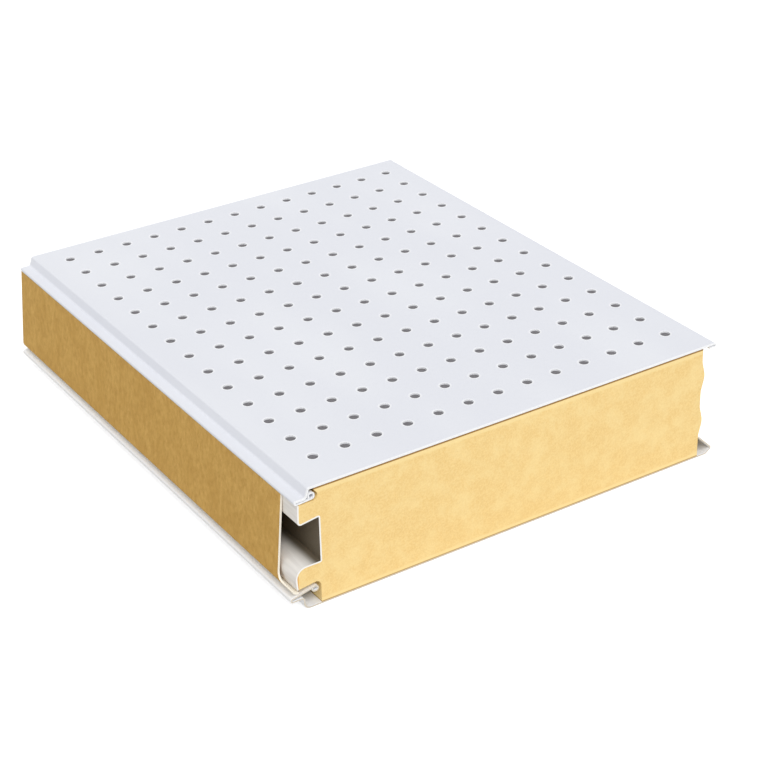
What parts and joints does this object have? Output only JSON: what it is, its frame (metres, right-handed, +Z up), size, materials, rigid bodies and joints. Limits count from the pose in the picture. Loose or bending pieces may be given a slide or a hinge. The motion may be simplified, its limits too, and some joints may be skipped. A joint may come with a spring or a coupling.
{
  "type": "insulated sandwich panel",
  "caption": "Flat insulated sandwich panel sample: perforated steel top sheet, foam core, steel bottom sheet and a lined joint groove along one edge.",
  "frame": {"origin": "middle of the panel's underside, on the surface it lies on", "axes": "+X across the panel from the joint edge to the far edge, +Y along its length from the sawn end in view, +Z up through its thickness"},
  "size_m": [0.1968, 0.233, 0.05],
  "materials": {
    "top_paint": "satin",
    "bottom_paint": "satin",
    "foam": "matte",
    "foam_strip": "matte",
    "lining": "satin",
    "fleece": "matte"
  },
  "bodies": {
    "root": {"top_sheet": "top_paint", "acoustic_fleece": "fleece", "insulation_core": "foam", "groove_lining": "lining", "edge_strip": "foam_strip", "bottom_sheet": "bottom_paint"}
  },
  "joints": []
}
